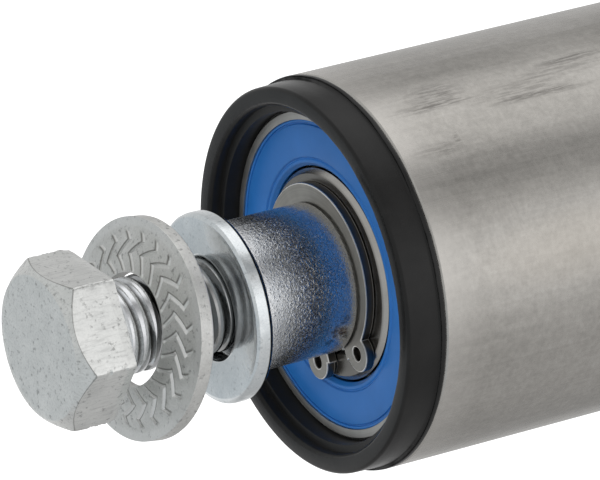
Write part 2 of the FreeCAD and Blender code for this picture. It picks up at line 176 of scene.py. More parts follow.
# Length of the band at the rear of the head, and how much it narrows.
REAR_BAND = 1.3
REAR_TAPER = 0.28
BOLT_TIP = 0.2
THREAD_RADIUS = 5.93
THREAD_ROOT = 5.2
THREAD_CROWN = 0.08
THREAD_LEAD = 1.75
THREAD_RUN_IN = 1.3
NECK_RADIUS = 5.58
NECK_LENGTH = 1.6
# One turn of thread: where the crest ends, and where the root starts and ends.
CREST_END = 0.54
ROOT_START = 0.72
ROOT_END = 0.78
THREAD_PHASES = (0.0, 0.06, 0.16, 0.28, 0.40, 0.48, 0.54, 0.6, 0.66, 0.72, 0.78, 0.84, 0.92)
# Depths between which painted shade comes onto the thread, from under the lock washer inward.
THREAD_UNSHADED_TO = -25.0
THREAD_SHADED_FROM = -22.0


def off_middle(angle):
    """Angle from the middle of the hexagon's flat at that angle."""
    return angle % SIXTH - HALF_SIXTH


def head_radius(angle):
    """Distance from the axis to the hexagon's outline, with its corners a little rounded."""
    corner = HEAD_FLATS / math.sqrt(3.0)
    return min(HEAD_FLATS / 2 / math.cos(off_middle(angle)), corner - HEAD_CORNER_ROUNDING)


def head_angles():
    """Angles of the columns of vertices round the bolt, with more of them at the corners."""
    angles = []
    for flat in range(6):
        middle = HALF_SIXTH + flat * TAU / 6
        for place in COLUMNS_A_FLAT:
            angles.append(middle + math.atan(place * math.tan(HALF_SIXTH)))
    return angles


def thread_radius(phase):
    """Outline of one turn of rolled thread: wide crowned crest, flank, narrow root, flank."""
    phase = phase % 1.0
    shoulder = THREAD_RADIUS - THREAD_CROWN
    if phase < CREST_END:
        crest_middle = CREST_END / 2
        return THREAD_RADIUS - THREAD_CROWN * ((phase - crest_middle) / crest_middle) ** 2
    if phase < ROOT_START:
        return mix(shoulder, THREAD_ROOT, (phase - CREST_END) / (ROOT_START - CREST_END))
    if phase < ROOT_END:
        return THREAD_ROOT
    return mix(THREAD_ROOT, shoulder, (phase - ROOT_END) / (1 - ROOT_END))


def edge_dents(angle, depth):
    """How far knocks have pushed in the head near its corners, in millimetres."""
    near_corner = smooth_step(abs(off_middle(angle)), DENTS_FROM, HALF_SIXTH)
    broad = noise.noise(Vector((angle * 4.0, depth * 1.5, 3.0)))
    nicks = noise.noise(Vector((angle * 9.0, depth * 5.0, 8.0)))
    return near_corner * (DENT_DEPTH * max(broad - 0.10, 0.0) + NICK_DEPTH * max(nicks, 0.0))


def head_rings(ring):
    """Rings of vertices from the middle of the head's face round to the neck.

    ring makes one from functions of the angle for its depth and radius, and from how dark a
    line it draws all round and at its corners.
    """
    def plain_ring(depth, radius):
        return ring(lambda angle: depth, lambda angle: radius)

    rings = [plain_ring(HEAD_FRONT, radius) for radius in (0.6, 2.5, 4.5, 6.5, 8.2, 9.0)]
    for share in (0.0, 0.04, 0.3, 0.6, 0.9, 0.96):
        def chamfer_radius(angle, share=share):
            edge = head_radius(angle) - edge_dents(angle, HEAD_FRONT + 1.0)
            return mix(HEAD_FACE_RADIUS, edge, share)

        def chamfer_depth(angle, share=share):
            rise = CHAMFER_RISE * (chamfer_radius(angle, share) - HEAD_FACE_RADIUS)
            return HEAD_FRONT + 0.04 + rise

        line = CHAMFER_LINE if share > 0.95 else 0.0
        rings.append(ring(chamfer_depth, chamfer_radius, line, line))
    band_start = HEAD_REAR - REAR_BAND
    for row in (0, 0.3, *range(1, ROWS_A_SIDE + 1)):
        share = mix(0.01, 1.0, row / ROWS_A_SIDE)

        def side_depth(angle, share=share):
            start = HEAD_FRONT + CHAMFER_RISE * (head_radius(angle) - HEAD_FACE_RADIUS)
            return mix(start, band_start, share)

        def side_radius(angle, share=share):
            return head_radius(angle) - edge_dents(angle, side_depth(angle, share))

        rings.append(ring(side_depth, side_radius, SIDE_LINE if row == 0 else 0.0, CORNER_LINE))
    for share in (0.05, 0.35, 0.65, 0.93, 1.0):
        depth = band_start + share * REAR_BAND

        def band_radius(angle, share=share, depth=depth):
            return head_radius(angle) - REAR_TAPER * share - edge_dents(angle, depth)

        rings.append(ring(lambda angle, depth=depth: depth, band_radius))
    for share in (0.9, 0.7, 0.4, 0.1):
        rings.append(ring(
            lambda angle: HEAD_REAR,
            lambda angle, share=share: mix(NECK_RADIUS + 0.5, head_radius(angle), share)))
    rings += [
        plain_ring(HEAD_REAR, NECK_RADIUS + 0.35),
        plain_ring(HEAD_REAR + 0.12, NECK_RADIUS + 0.12),
        plain_ring(HEAD_REAR + 0.35, NECK_RADIUS),
        plain_ring(HEAD_REAR + NECK_LENGTH * 0.6, NECK_RADIUS),
    ]
    return rings


def thread_rows(bm, end, angles, pressed):
    """Rows of vertices that wind along the thread, each round the bolt from one seam."""
    start = HEAD_REAR + NECK_LENGTH * 0.75
    turns = math.ceil((BOLT_TIP - start) / THREAD_LEAD) + 1
    a_turn = len(THREAD_PHASES)
    rows = []
    for row in range(-a_turn, turns * a_turn + 1):
        along = row // a_turn + THREAD_PHASES[row % a_turn]
        made = []
        for angle in angles:
            turned = angle / TAU * -end
            depth = start + THREAD_LEAD * (along + turned % 1.0)
            depth = min(max(depth, start), BOLT_TIP)
            thread = thread_radius((depth - start) / THREAD_LEAD - turned)
            rolled = smooth_step(depth, start, start + THREAD_RUN_IN)
            radius = mix(NECK_RADIUS, thread, rolled)
            radius = min(radius, THREAD_ROOT - 0.15 + (BOLT_TIP - depth))
            in_root = 1 - smooth_step(thread, THREAD_ROOT, THREAD_RADIUS - 0.2)
            shaded_inward = smooth_step(depth, THREAD_UNSHADED_TO, THREAD_SHADED_FROM)
            made.append(add_point(bm, to_world_x(end, depth), radius, angle))
            # Painted shade: in the thread's root, and all over from under the lock washer inward.
            made[-1][pressed] = min(THREAD_ROOT_SHADE * rolled * in_root, THREAD_INWARD_SHADE * shaded_inward)
        rows.append(made)
    return rows


def join_thread(bm, rows, shares):
    """Faces between the rows of a thread. shares says how far round its turn each column is.

    At the seam a row meets the one that is a whole turn further on.
    """
    size = len(shares)
    a_turn = len(THREAD_PHASES)
    last = len(rows) - 1
    for index in range(last):
        for k in range(size):
            following = (k + 1) % size
            jump = 0
            if shares[following] - shares[k] > 0.5:
                jump = -a_turn
            elif shares[k] - shares[following] > 0.5:
                jump = a_turn
            low = min(max(index + jump, 0), last)
            high = min(max(index + 1 + jump, 0), last)
            if low != high:
                bm.faces.new([
                    rows[index][k], rows[low][following], rows[high][following], rows[index + 1][k]])


def hex_bolt(end):
    """Hex bolt with a chamfered bare head and a right-hand thread cut up to its neck.

    The thread has painted shade in its root, and all over from under the lock washer inward.
    """
    bm = bmesh.new()
    pressed = bm.verts.layers.float.new("pressed")
    angles = head_angles()

    def ring(depth_at, radius_at, line=0.0, corners=0.0):
        made = []
        for angle in angles:
            depth = depth_at(angle)
            made.append(add_point(bm, to_world_x(end, depth), radius_at(angle), angle))
            at_corner = abs(abs(off_middle(angle)) - HALF_SIXTH) < 1e-6
            patchy = 0.6 + noise.noise(Vector((angle * 5.0, depth * 1.2, 1.0)))
            made[-1][pressed] = corners * patchy if at_corner else line
        return made

    rings = head_rings(ring)
    bm.faces.new(list(reversed(rings[0])))
    rows = thread_rows(bm, end, angles, pressed)
    join_thread(bm, rows, [(angle / TAU * -end) % 1.0 for angle in angles])
    rings.append(rows[0])
    join_rings(bm, rings, closed=False)
    bm.faces.new(rows[-1])
    head_side = abs(to_world_x(end, HEAD_REAR + 0.1))
    for face in bm.faces:
        face.material_index = int(abs(face.calc_center_median().x) < head_side)
    return bm


# Lock washer

LOCK_RADIUS = 13.75
LOCK_HOLE = 7.0
LOCK_THICKNESS = 1.8
LOCK_DISH = 1.0
LOCK_RIM = 1.1
LOCK_FACE = -23.7
LOCK_DROP = 0.75
LOCK_TILT_DEGREES = 10.2
LOCK_YAW_DEGREES = 3.3
TEETH = 24
# Where the line of a groove runs: radius and angle in degrees, from the outside in.
GROOVE_LINE = ((12.1, 6.3), (10.98, 3.0), (9.27, 16.0), (7.3, 8.0))
# Across a groove: place in half widths, share of its depth, and its value of painted light: a painted
# highlight on the floor and flanks, painted shade at the far edge.
GROOVE_SECTION = ((-1.0, 0.0, 0.2), (-0.5, 0.55, 1.0), (0.0, 1.0, 1.0), (0.5, 0.55, 0.7), (1.0, 0.0, -1.0))
BETWEEN_GROOVES = (0.15, 0.38, 0.62, 0.85)
GROOVE_DEPTH = 0.28
GROOVE_ROWS = (7.0, 7.12, 7.3, 7.5, 7.9, 8.4, 8.9, 9.15, 9.27, 9.4, 9.8, 10.3, 10.8, 10.98,
               11.15, 11.5, 11.9, 12.05, 12.25, 12.5, 12.8, 13.2, 13.5, 13.66, 13.73)
# Rows on the rim, by share of the thickness.
RIM_ROWS = (0.02, 0.1, 0.5, 0.9, 0.98)


def groove_angle(radius):
    """Angle of a groove's line at a radius, in radians."""
    if radius >= GROOVE_LINE[0][0]:
        return math.radians(GROOVE_LINE[0][1])
    for (outer, at_outer), (inner, at_inner) in zip(GROOVE_LINE, GROOVE_LINE[1:]):
        if radius >= inner:
            return math.radians(mix(at_outer, at_inner, (outer - radius) / (outer - inner)))
    return math.radians(GROOVE_LINE[-1][1])


def groove_half_width(radius):
    """Half the width of a groove, as a share of the way to the next one."""
    wide = smooth_step(radius, 8.9, 9.5) * (1 - smooth_step(radius, 10.8, 11.2))
    return mix(0.29, 0.48, wide) / (radius * TAU / TEETH)


def lock_washer(end):
    """Dished washer with a zigzag groove pressed into both faces at each tooth."""
    bm = bmesh.new()
    pressed = bm.verts.layers.float.new("pressed")
    rim_start = LOCK_RADIUS - LOCK_RIM

    def round_points(radius, depth_at, light_paint_at):
        """A ring of vertices. depth_at takes a share of the groove's depth, light_paint_at its shine."""
        half = groove_half_width(radius)
        places = [(across * half, sunk, light_paint) for across, sunk, light_paint in GROOVE_SECTION]
        places += [(mix(half, 1 - half, share), 0.0, 0.0) for share in BETWEEN_GROOVES]
        made = []
        for tooth in range(TEETH):
            for place, sunk, light_paint in places:
                angle = (tooth + place) * TAU / TEETH + groove_angle(radius)
                made.append(bm.verts.new((
                    -end * depth_at(sunk) * MM,
                    end * radius * math.cos(angle) * MM,
                    radius * math.sin(angle) * MM,
                )))
                # Painted light on the groove: highlight above 0, shade below 0.
                made[-1][pressed] = light_paint_at(light_paint)
        return made

    def face_ring(radius, back):
        dished = LOCK_DISH * min(max((rim_start - radius) / (rim_start - LOCK_HOLE), 0), 1)
        strength = smooth_step(radius, 7.1, 7.35) * (1 - smooth_step(radius, 11.85, 12.2))
        # Painted highlight round the outer edge of the face.
        rim_highlight = LOCK_RIM_HIGHLIGHT * smooth_step(radius, 12.4, 12.8)

        def depth_at(sunk):
            sink = sunk * strength * GROOVE_DEPTH
            return -dished + (LOCK_THICKNESS - sink if back else sink)

        return round_points(radius, depth_at, lambda light_paint: light_paint * strength + rim_highlight)

    def rim_ring(share):
        return round_points(LOCK_RADIUS, lambda sunk: share * LOCK_THICKNESS, lambda light_paint: 0.0)

    rings = [face_ring(radius, False) for radius in GROOVE_ROWS]
    rings += [rim_ring(share) for share in RIM_ROWS]
    rings += [face_ring(radius, True) for radius in reversed(GROOVE_ROWS)]
    join_rings(bm, rings, closed=True)
    tilt = Matrix.Rotation(math.radians(LOCK_TILT_DEGREES) * -end, 4, "Y")
    yaw = Matrix.Rotation(math.radians(LOCK_YAW_DEGREES) * -end, 4, "Z")
    place = Matrix.Translation((to_world_x(end, LOCK_FACE), 0, -LOCK_DROP * MM))
    bm.transform(place @ yaw @ tilt)
    return bm


# Flat washer, seal and end cap

FLAT_FACE = -13.7
FLAT_BACK = -11.2
FLAT_RADIUS = 12.0
FLAT_HOLE = 6.5
FLAT_DROP = 0.5
# How far from the back the washer's edge carries painted shade, where it stands against the axle's end.
FLAT_SHADE_REACH = 0.7


def flat_washer(end):
    """Stamped washer: rolled front edge, knocks round the rim, painted shade on its back edge and round its
    hole.
    """
    def knocks(depth, radius, angle):
        if radius < FLAT_RADIUS - 1.5:
            return 0.0, 0.0
        spot = noise.noise(Vector((math.cos(angle) * 9, math.sin(angle) * 9, depth * 0.8)))
        return 0.0, -0.10 * max(spot - 0.25, 0.0)

    outline = [
        (FLAT_FACE, FLAT_HOLE + 0.45),
        (FLAT_FACE, FLAT_RADIUS - 0.75),
        (FLAT_FACE + 0.12, FLAT_RADIUS - 0.38),
        (FLAT_FACE + 0.4, FLAT_RADIUS - 0.08),
        (FLAT_FACE + 0.8, FLAT_RADIUS),
        (FLAT_BACK - 0.85, FLAT_RADIUS),
        (FLAT_BACK - 0.6, FLAT_RADIUS),
        (FLAT_BACK - 0.3, FLAT_RADIUS - 0.1),
        (FLAT_BACK - 0.08, FLAT_RADIUS - 0.32),
        (FLAT_BACK, FLAT_RADIUS - 0.6),
        (FLAT_BACK, FLAT_HOLE + 0.1),
        (FLAT_BACK - 0.1, FLAT_HOLE),
        (FLAT_FACE + 0.45, FLAT_HOLE),
        (FLAT_FACE + 0.13, FLAT_HOLE + 0.13),
    ]
    bm = lathe(end, soften(outline, 0.12), wobble=knocks)
    pressed = bm.verts.layers.float.new("pressed")
    shaded_within = abs(to_world_x(end, FLAT_BACK - FLAT_SHADE_REACH))
    for vert in bm.verts:
        radius = math.hypot(vert.co.y, vert.co.z) / MM
        near_hole = 1 - smooth_step(radius, FLAT_HOLE, FLAT_RADIUS)
        shaded_back = abs(vert.co.x) < shaded_within
        # Painted shade on the back edge, and fading out from the hole.
        vert[pressed] = FLAT_BACK_SHADE if shaded_back else FLAT_HOLE_SHADE * near_hole
    bm.transform(Matrix.Translation((0, 0, -FLAT_DROP * MM)))
    return bm


SEAL_FRONT = 3.75
SEAL_OUTSIDE = 19.6
SEAL_LIP = 13.7


def outer_seal(end):
    """Moulded seal: rim bead, line inside it, flat web, two small steps down to its lip."""
    outline = [
        (SEAL_FRONT + 0.12, SEAL_OUTSIDE),
        (SEAL_FRONT, SEAL_OUTSIDE - 0.1),
        (SEAL_FRONT, SEAL_OUTSIDE - 0.35),
        (SEAL_FRONT + 0.25, SEAL_OUTSIDE - 0.42),
        (SEAL_FRONT + 0.25, SEAL_OUTSIDE - 0.58),
        (SEAL_FRONT, SEAL_OUTSIDE - 0.65),
        (SEAL_FRONT, SEAL_LIP + 1.2),
        (SEAL_FRONT + 0.22, SEAL_LIP + 1.05),
        (SEAL_FRONT + 0.22, SEAL_LIP + 0.95),
        (SEAL_FRONT + 0.02, SEAL_LIP + 0.8),
        (SEAL_FRONT + 0.02, SEAL_LIP + 0.45),
        (SEAL_FRONT + 0.36, SEAL_LIP + 0.12),
        (SEAL_FRONT + 0.45, SEAL_LIP),
        (SEAL_FRONT + 0.9, SEAL_LIP),
        (SEAL_FRONT + 0.9, SEAL_OUTSIDE),
    ]
    return lathe(end, soften(outline, 0.08))


def end_cap(end):
    """Moulded plastic housing. Its mouth is a little ragged, as trimmed flash leaves it."""
    def ragged(depth, radius, angle):
        broad = noise.noise(Vector((math.cos(angle) * 6, math.sin(angle) * 6, 2.0 * end)))
        fine = noise.noise(Vector((math.cos(angle) * 24, math.sin(angle) * 24, 5.0 * end)))
        in_mouth = (1 - smooth_step(depth, 0.1, 1.2)) * (1 - smooth_step(radius, 22.3, 23.0))
        swell = -in_mouth * (0.10 * max(broad, 0.0) + 0.05 * fine)
        by_tube = smooth_step(depth, 4.2, 4.45) * (1 - smooth_step(depth, 4.9, 5.3))
        on_flange = smooth_step(radius, 24.7, 24.95) * by_tube
        shift = on_flange * (-0.08 + 0.10 * broad + 0.06 * fine)
        return shift, swell

    outline = [
        (0.0, 22.4), (0.0, 24.1), (0.3, 24.4), (2.2, 24.47), (4.2, 24.54), (4.5, 24.7), (4.5, 24.95),
        (4.7, 25.0), (5.0, 25.0), (5.1, 24.9), (5.1, 23.0), (17.1, 23.0), (18.1, 22.0), (18.1, 17.5),
        (15.6, 17.5), (15.6, 21.0), (1.6, 21.0), (1.6, 22.0), (0.4, 22.0),
    ]
    return lathe(end, soften(outline, 0.14), segments=384, wobble=ragged)


# Materials

SMUDGED = (0.17, 0.16, 0.15)
WARM_STEEL = (0.66, 0.60, 0.52)
END_HIGHLIGHT_STEEL = (0.70, 0.675, 0.64)
RUST = (0.20, 0.11, 0.05)
YELLOWED = (1.0, 0.90, 0.76)
PAINTED_HIGHLIGHT_ZINC = (0.97, 0.97, 0.96)
POLISHED_ZINC = (0.97, 0.98, 0.99)
PAINTED_SHADE_AND_LINES = (0.10, 0.095, 0.080)
PAINTED_INNER_SHADE = (0.075, 0.068, 0.060)
PAINTED_SIDE_SHADE = (0.050, 0.045, 0.040)
# Above 1, so that a wall is rougher than the range of its finish.
DULL = (2.6, 2.6, 2.6)


class Finish:
    """A material whose colour, roughness and bump come from nodes in millimetres."""

    def __init__(self, name, metallic=1.0):
        self.material = bpy.data.materials.new(name)
        self.material.use_nodes = True
        self.tree = self.material.node_tree
        self.shader = self.tree.nodes["Principled BSDF"]
        self.shader.inputs["Metallic"].default_value = metallic
        coordinates = self.tree.nodes.new("ShaderNodeTexCoord")
        self.place = self.stretch(coordinates.outputs["Object"], (1000, 1000, 1000))
        self.normal = coordinates.outputs["Normal"]

    def link(self, output, socket):
        self.tree.links.new(output, socket)

    def stretch(self, vector, scale):
        """The vector with each axis multiplied. A small number makes a pattern long."""
        node = self.tree.nodes.new("ShaderNodeMapping")
        node.inputs["Scale"].default_value = scale
        self.link(vector, node.inputs["Vector"])
        return node.outputs["Vector"]

    def math(self, operation, first, second=None):
        """The result of an operation on one or two numbers or outputs."""
        node = self.tree.nodes.new("ShaderNodeMath")
        node.operation = operation
        for socket, value in zip(node.inputs, (first, second)):
            if isinstance(value, (int, float)):
                socket.default_value = value
            elif value is not None:
                self.link(value, socket)
        return node.outputs[0]

    def split(self):
        """X, Y and Z of the place."""
        node = self.tree.nodes.new("ShaderNodeSeparateXYZ")
        self.link(self.place, node.inputs[0])
        return node.outputs

    def square_sum(self, first, second):
        """The square of one value plus the square of another."""
        return self.math("ADD", self.math("MULTIPLY", first, first), self.math("MULTIPLY", second, second))

    def radius(self):
        """Distance from the roller's axis in millimetres."""
        return self.math("SQRT", self.square_sum(*self.split()[1:]))

    def noise(self, grain, detail=3.0, vector=None, roughness=0.5):
        """Noise between 0 and 1. grain is its size in millimetres."""
        node = self.tree.nodes.new("ShaderNodeTexNoise")
        node.inputs["Scale"].default_value = 1.0 / grain
        node.inputs["Detail"].default_value = detail
        node.inputs["Roughness"].default_value = roughness
        self.link(vector or self.place, node.inputs["Vector"])
        return node.outputs["Fac"]

    def ramp(self, value, stops):
        """Colours or greys at places between 0 and 1."""
        node = self.tree.nodes.new("ShaderNodeValToRGB")
        ramp = node.color_ramp
        while len(ramp.elements) < len(stops):
            ramp.elements.new(0.5)
        for element, (place, colour) in zip(ramp.elements, stops):
            element.position = place
            if isinstance(colour, (int, float)):
                colour = (colour, colour, colour)
            element.color = (*colour, 1.0)
        self.link(value, node.inputs["Fac"])
        return node.outputs["Color"]

    def blend(self, share, first, second, kind="MIX"):
        """Mix two colours. Of the node's sockets, 0 is the share and 6 and 7 are the colours."""
        node = self.tree.nodes.new("ShaderNodeMix")
        node.data_type = "RGBA"
        node.blend_type = kind
        for socket, value in ((node.inputs[0], share), (node.inputs[6], first), (node.inputs[7], second)):
            if isinstance(value, tuple):
                socket.default_value = (*value, 1.0)
            elif isinstance(value, (int, float)):
                socket.default_value = value
            else:
                self.link(value, socket)
        return node.outputs[2]

    def mark(self, x, degrees, half_length, half_width, ragged):
        """1 inside an oval spot on a round piece, 0 outside, with a ragged soft edge."""
        place = self.split()
        front = self.math("MULTIPLY", place[1], -1.0)
        angle = self.math("ARCTAN2", place[2], front)
        along = self.math("DIVIDE", self.math("SUBTRACT", place[0], x), half_length)
        turned = self.math("SUBTRACT", angle, math.radians(degrees))
        around = self.math("DIVIDE", turned, math.radians(half_width))
        far = self.square_sum(along, around)
        edge = self.math("MULTIPLY", self.math("SUBTRACT", ragged, 0.5), 5.0)
        return self.ramp(self.math("ADD", self.math("MULTIPLY", far, 0.5), edge), ((0.05, 1.0), (0.9, 0.0)))

    def smudge(self, x, degrees, half_length, half_width, texture):
        """A soft oval patch on a round piece, filled with a fine texture."""
        soft = self.mark(x, degrees, half_length, half_width, 0.5)
        return self.math("MULTIPLY", soft, self.ramp(texture, ((0.42, 0.15), (0.58, 1.0))))

    def colour(self, output):
        self.link(output, self.shader.inputs["Base Color"])

    def roughness(self, value, low, high):
        """Roughness from low to high as value goes from 0 to 1."""
        node = self.tree.nodes.new("ShaderNodeMapRange")
        node.clamp = False
        node.inputs["To Min"].default_value = low
        node.inputs["To Max"].default_value = high
        self.link(value, node.inputs["Value"])
        self.link(node.outputs["Result"], self.shader.inputs["Roughness"])

    def bump(self, *layers):
        """Bump from (height output, height in millimetres) layers."""
        normal = None
        for height, tall in layers:
            node = self.tree.nodes.new("ShaderNodeBump")
            node.inputs["Distance"].default_value = tall * MM
            self.link(height, node.inputs["Height"])
            if normal is not None:
                self.link(normal, node.inputs["Normal"])
            normal = node.outputs["Normal"]
        self.link(normal, self.shader.inputs["Normal"])


TUBE_END = 150.0
# How far in from its end the tube is painted lighter, a painted highlight.
END_HIGHLIGHT_LENGTH = 6.0
TUBE_DARK = (0.43, 0.413, 0.385)
TUBE_LIGHT = (0.535, 0.515, 0.485)
# Handling marks on the tube: X in mm, degrees up from the front, half length in mm, half
# width in degrees, and how much darker the mark is.
SMUDGES = (
    (-142.0, 69.8, 5.5, 1.6, 0.75),
    (-140.5, 74.0, 3.6, 4.2, 0.60),
    (-127.0, 65.0, 6.5, 1.3, 0.80),
    (-129.0, 68.5, 6.5, 3.2, 0.45),
    (-120.0, 76.0, 4.4, 1.5, 0.75),
    (-122.5, 72.5, 5.5, 2.6, 0.45),
    (-144.5, 55.0, 3.5, 2.0, 0.45),
    (-141.4, 57.0, 0.4, 1.6, 0.60),
    (-75.0, 40.0, 12.0, 2.6, 0.55),
    (20.0, -70.0, 16.0, 3.0, 0.55),
    (95.0, 60.0, 10.0, 2.4, 0.60),
)
# A faint warm patch, laid out in the same way.
WARM_PATCH = (-128.0, 19.0, 14.0, 9.0)
WARMTH = 0.22


def tube_finish():
    """Drawn steel: streaks along the tube, clouds, handling smudges, a warm patch, a painted highlight at
    the ends.
    """
    finish = Finish("tube_steel")
    along = finish.stretch(finish.place, (0.03, 1.0, 1.0))
    streaks = finish.noise(0.8, 4.0, along, 0.6)
    broad = finish.noise(5.0, 3.0, finish.stretch(finish.place, (0.12, 1.0, 1.0)))
    clouds = finish.noise(14.0, 4.0, None, 0.55)
    specks = finish.noise(0.6, 2.0)
    tone = finish.blend(0.45, finish.ramp(clouds, ((0.3, TUBE_DARK), (0.7, TUBE_LIGHT))),
                        finish.ramp(broad, ((0.3, TUBE_DARK), (0.7, TUBE_LIGHT))))
    hairs = finish.noise(0.35, 3.0, finish.stretch(finish.place, (1.0, 0.22, 0.22)))
    mottling = finish.noise(1.8, 4.0, None, 0.65)
    tone = finish.blend(0.16, tone, finish.ramp(streaks, ((0.3, 0.36), (0.7, 0.64))), "OVERLAY")
    tone = finish.blend(0.16, tone, finish.ramp(specks, ((0.3, 0.3), (0.7, 0.7))), "OVERLAY")
    tone = finish.blend(0.06, tone, finish.ramp(hairs, ((0.3, 0.3), (0.7, 0.7))), "OVERLAY")
    tone = finish.blend(0.18, tone, finish.ramp(mottling, ((0.3, 0.3), (0.7, 0.7))), "OVERLAY")
    scuffs = finish.noise(0.3, 4.0, finish.stretch(finish.place, (0.10, 1.0, 1.0)), 0.65)
    for x, degrees, half_length, half_width, strength in SMUDGES:
        mark = finish.smudge(x, degrees, half_length, half_width, scuffs)
        tone = finish.blend(finish.math("MULTIPLY", mark, strength), tone, SMUDGED)
    warm = finish.mark(*WARM_PATCH, 0.5)
    tone = finish.blend(finish.math("MULTIPLY", warm, WARMTH), tone, WARM_STEEL)
    # Painted highlight near each end.
    beyond = finish.math("SUBTRACT", finish.math("ABSOLUTE", finish.split()[0]), TUBE_END - END_HIGHLIGHT_LENGTH)
    near_end = finish.ramp(finish.math("DIVIDE", beyond, END_HIGHLIGHT_LENGTH), ((0.0, 0.0), (0.9, 0.45)))
    tone = finish.blend(near_end, tone, END_HIGHLIGHT_STEEL)
    finish.colour(tone)
    finish.roughness(streaks, 0.22, 0.32)
    finish.bump((streaks, 0.006), (specks, 0.004), (hairs, 0.002))
    return finish.material


# Worn and rusty spots on the axle, laid out as the tube's marks are.
AXLE_SPOTS = (
    (-155.1, -21.0, 0.9, 6.0, 0.7),
    (-156.2, -32.0, 0.5, 4.0, 0.6),
    (-154.4, -10.0, 0.4, 3.0, 0.5),
    (155.6, 150.0, 0.9, 6.0, 0.6),
)
# Measured out from the end cap's face: how far the yellowed band can reach, and where the
# polished end starts.
YELLOWED_REACH = 8.0
POLISHED_FROM = 9.3


def axle_finish():
    """Bright zinc crystals on a bar, with a few rusty spots, a yellowed band and polished ends."""
    finish = Finish("axle_zinc")
    grain = finish.noise(0.22, 3.0, None, 0.6)
    crystals = finish.noise(0.55, 2.0)
    patches = finish.noise(4.0, 3.0)
    tone = finish.blend(0.5, finish.ramp(grain, ((0.32, (0.46, 0.49, 0.54)), (0.62, (0.92, 0.94, 0.96)))),
                        finish.ramp(patches, ((0.3, (0.66, 0.69, 0.73)), (0.7, (0.86, 0.88, 0.90)))))
    sparkle = finish.ramp(crystals, ((0.28, 0.12), (0.40, 0.5), (0.62, 0.55), (0.74, 0.9)))
    tone = finish.blend(0.6, tone, sparkle, "OVERLAY")
    for x, degrees, half_length, half_width, strength in AXLE_SPOTS:
        spot = finish.mark(x, degrees, half_length, half_width, crystals)
        tone = finish.blend(finish.math("MULTIPLY", spot, strength), tone, RUST)
    out = finish.math("SUBTRACT", finish.math("ABSOLUTE", finish.split()[0]), CAP_FACE)
    out_share = finish.math("DIVIDE", out, YELLOWED_REACH)
    yellowed = finish.ramp(out_share, ((0.12, 0.3), (0.28, 1.0), (0.42, 1.0), (0.62, 0.0)))
    tone = finish.blend(yellowed, tone, YELLOWED, "MULTIPLY")
    polished = finish.ramp(finish.math("SUBTRACT", out, POLISHED_FROM), ((0.0, 0.0), (0.8, 0.7)))
    tone = finish.blend(polished, tone, POLISHED_ZINC)
    finish.colour(tone)
    peaks = finish.ramp(finish.noise(0.30, 2.0), ((0.52, 0.0), (0.70, 1.0)))
    finish.roughness(grain, 0.16, 0.34)
    finish.bump((peaks, 0.016), (crystals, 0.020), (grain, 0.014))
    return finish.material


def zinc_finish(name, dark, light, rough, dents, fine, pits=0.0, drawn=0.0):
    """Zinc plate: faint clouds, small dents, fine grain and dark pits.

    dents and fine are heights in millimetres. pits and drawn are the strengths of the dark pits
    and of fine lines along the axis. The vertices' attribute of painted light is above 0 where a
    highlight is painted and below 0 where shade is painted and where the bolt head's edges get darker
    lines.
    """
    finish = Finish(name)
    clouds = finish.noise(3.0, 4.0, None, 0.6)
    grain = finish.noise(0.25, 3.0)
    spots = finish.noise(0.7, 3.0, None, 0.6)
    tone = finish.blend(0.35, finish.ramp(clouds, ((0.3, dark), (0.7, light))),
                        finish.ramp(grain, ((0.35, dark), (0.65, light))))
    lines = finish.noise(0.3, 4.0, finish.stretch(finish.place, (0.12, 1.0, 1.0)), 0.6)
    tone = finish.blend(drawn, tone, finish.ramp(lines, ((0.32, 0.5), (0.5, 1.0))), "MULTIPLY")
    tone = finish.blend(pits, tone, finish.ramp(spots, ((0.30, 0.3), (0.42, 1.0))), "MULTIPLY")
    pressed = finish.tree.nodes.new("ShaderNodeAttribute")
    pressed.attribute_name = "pressed"
    bright = finish.math("MAXIMUM", finish.math("MULTIPLY", pressed.outputs["Fac"], 0.9), 0.0)
    shade_and_lines = finish.math("MAXIMUM", finish.math("MULTIPLY", pressed.outputs["Fac"], -0.8), 0.0)
    # Painted highlight above 0; painted shade, and the bolt head's darker edge lines, below 0.
    tone = finish.blend(bright, tone, PAINTED_HIGHLIGHT_ZINC)
    tone = finish.blend(shade_and_lines, tone, PAINTED_SHADE_AND_LINES)
    finish.colour(tone)
    finish.roughness(clouds, rough * 0.85, rough * 1.15)
    finish.bump((clouds, dents), (grain, fine), (spots, fine * 2))
    return finish.material


def ground_finish(name, dark, light, rough, dark_within=0.0, side_shade=0.0):
    """Ground or pressed steel with fine turning lines round the axis.

    dark_within is a radius inside which shade is painted on it. side_shade paints shade on what
    doesn't face along the axis.
    """
    finish = Finish(name)
    radius = finish.radius()
    lines = finish.tree.nodes.new("ShaderNodeCombineXYZ")
    finish.link(radius, lines.inputs[0])
    finish.link(finish.split()[0], lines.inputs[1])
    turning = finish.noise(0.12, 2.0, lines.outputs[0])
    clouds = finish.noise(2.5, 3.0)
    tone = finish.blend(0.5, finish.ramp(clouds, ((0.3, dark), (0.7, light))),
                        finish.ramp(turning, ((0.3, dark), (0.7, light))))
    # Painted shade inside dark_within.
    inner_shade = finish.ramp(finish.math("SUBTRACT", radius, dark_within), ((0.0, 0.7), (0.25, 0.0)))
    tone = finish.blend(inner_shade, tone, PAINTED_INNER_SHADE)
    facing = finish.tree.nodes.new("ShaderNodeSeparateXYZ")
    finish.link(finish.normal, facing.inputs[0])
    # Painted shade on sides that don't face along the axis.
    side = finish.ramp(finish.math("ABSOLUTE", facing.outputs[0]), ((0.4, side_shade), (0.7, 0.0)))
    finish.colour(finish.blend(side, tone, PAINTED_SIDE_SHADE))
    finish.roughness(clouds, rough * 0.85, rough * 1.15)
    finish.bump((turning, 0.004))
    return finish.material


